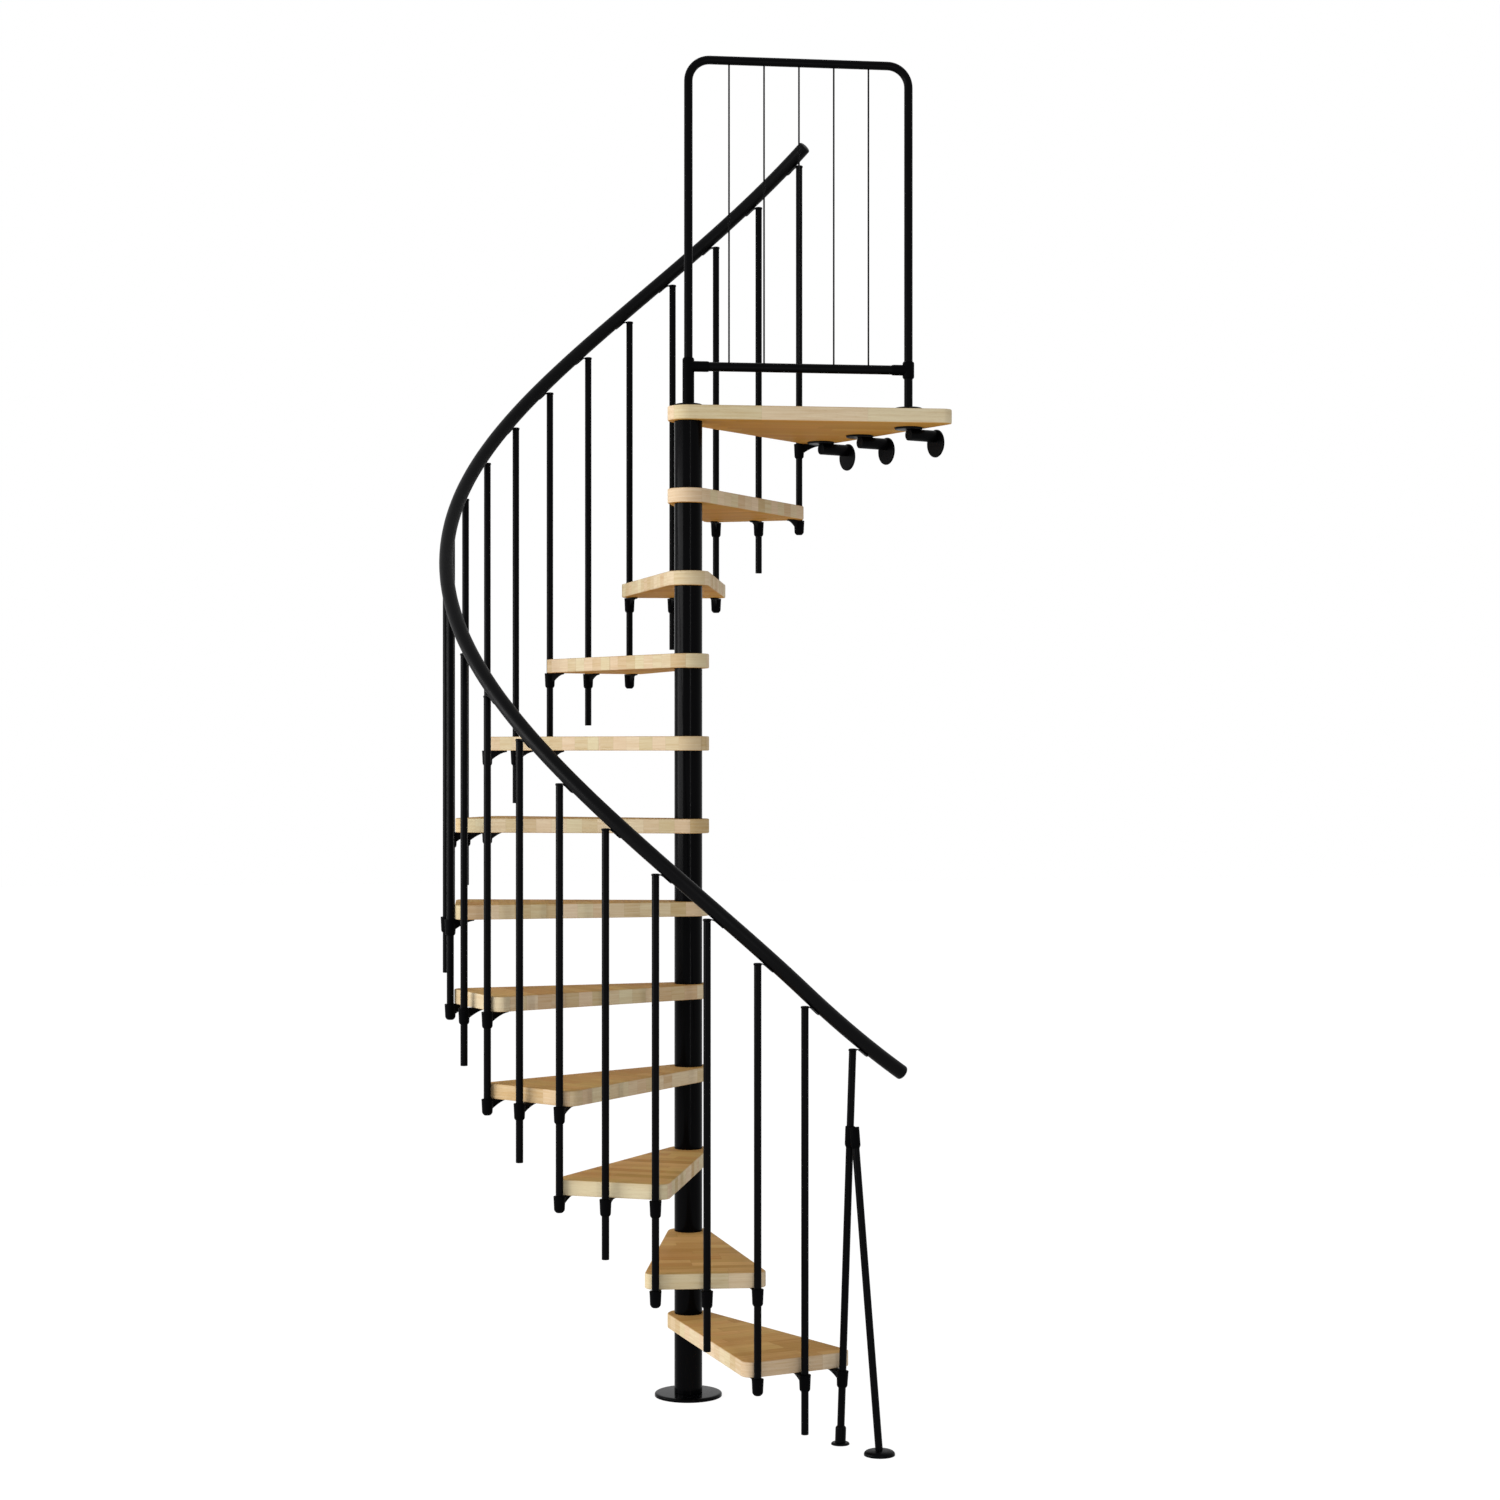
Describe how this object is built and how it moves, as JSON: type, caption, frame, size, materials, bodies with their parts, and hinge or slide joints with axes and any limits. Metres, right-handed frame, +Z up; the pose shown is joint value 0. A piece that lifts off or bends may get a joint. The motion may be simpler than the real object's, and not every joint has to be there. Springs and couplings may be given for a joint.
{
  "type": "spiral staircase",
  "caption": "Spiral staircase with wooden wedge treads on a black central column, a curved handrail on balusters and a railed wedge landing.",
  "frame": {"origin": "on the column axis, on the underside of the base flange", "axes": "+Z up along the column; +X along the landing's guarded edge, from the column towards the wall; treads climb clockwise seen from above"},
  "size_m": [1.4363, 1.459, 3.7418],
  "materials": {
    "column_paint": "satin",
    "rail_paint": "satin",
    "plain_steel": "satin",
    "beech_board": "satin",
    "handrail_cover": "satin",
    "bracket_plastic": "satin"
  },
  "bodies": {
    "root": {"floor_flange": "column_paint", "column_tube_01": "column_paint", "column_tube_02": "column_paint", "column_tube_03": "column_paint", "column_tube_04": "column_paint", "column_tube_05": "column_paint", "column_tube_06": "column_paint", "column_tube_07": "column_paint", "column_tube_08": "column_paint", "column_tube_09": "column_paint", "column_tube_10": "column_paint", "column_tube_11": "column_paint", "column_tube_12": "column_paint", "centre_rod": "plain_steel", "tread_01": "beech_board", "tread_02": "beech_board", "tread_03": "beech_board", "tread_04": "beech_board", "tread_05": "beech_board", "tread_06": "beech_board", "tread_07": "beech_board", "tread_08": "beech_board", "tread_09": "beech_board", "tread_10": "beech_board", "tread_11": "beech_board", "landing": "beech_board", "handrail": "handrail_cover", "handrail_end_caps": "handrail_cover", "handrail_saddles": "rail_paint", "link_balusters": "rail_paint", "mid_balusters": "rail_paint", "newel_post": "rail_paint", "brace_strut": "rail_paint", "rail_frame": "rail_paint", "rail_bottom_bar": "rail_paint", "rail_rods": "rail_paint", "rail_flanges": "rail_paint", "newel_foot": "rail_paint", "brace_foot": "rail_paint", "wall_brackets": "rail_paint", "nosing_brackets": "bracket_plastic", "mid_brackets": "bracket_plastic", "rear_brackets": "bracket_plastic", "brace_clamp": "bracket_plastic", "rail_tees": "bracket_plastic"}
  },
  "joints": []
}
